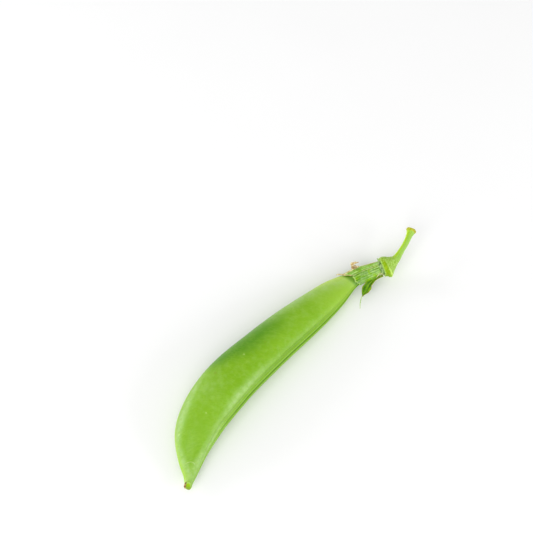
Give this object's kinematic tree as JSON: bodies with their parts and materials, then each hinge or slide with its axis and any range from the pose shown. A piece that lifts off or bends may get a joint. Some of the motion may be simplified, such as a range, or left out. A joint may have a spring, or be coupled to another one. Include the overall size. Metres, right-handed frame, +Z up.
{
  "type": "sugar snap pea",
  "caption": "Plump edible pea pod, gently curved and lying on one cheek, with its stalk, withered calyx and blunt beak.",
  "frame": {"origin": "on the surface that the pod lies on, under the middle of the whole pea", "axes": "+X from the beak towards the stalk, +Y from the seam towards the arched back, +Z up from the surface"},
  "size_m": [0.1142, 0.029, 0.0121],
  "materials": {
    "pod_skin": "waxy, soft sheen",
    "stalk_skin": "smooth, faintly ridged",
    "sepal_skin": "dull, ribbed lengthwise",
    "dry_tissue": "dry, papery",
    "dry_style": "dry, brown"
  },
  "bodies": {
    "root": {"pod": "pod_skin", "stalk": "stalk_skin", "calyx_ring": "dry_tissue", "sepal_top": "sepal_skin", "sepal_back": "sepal_skin", "sepal_under_back": "sepal_skin", "sepal_under": "sepal_skin", "sepal_hanging": "sepal_skin", "dried_petal": "dry_tissue", "dried_stamen_long": "dry_tissue", "dried_stamen_short": "dry_tissue", "style_remnant": "dry_style"}
  },
  "joints": []
}
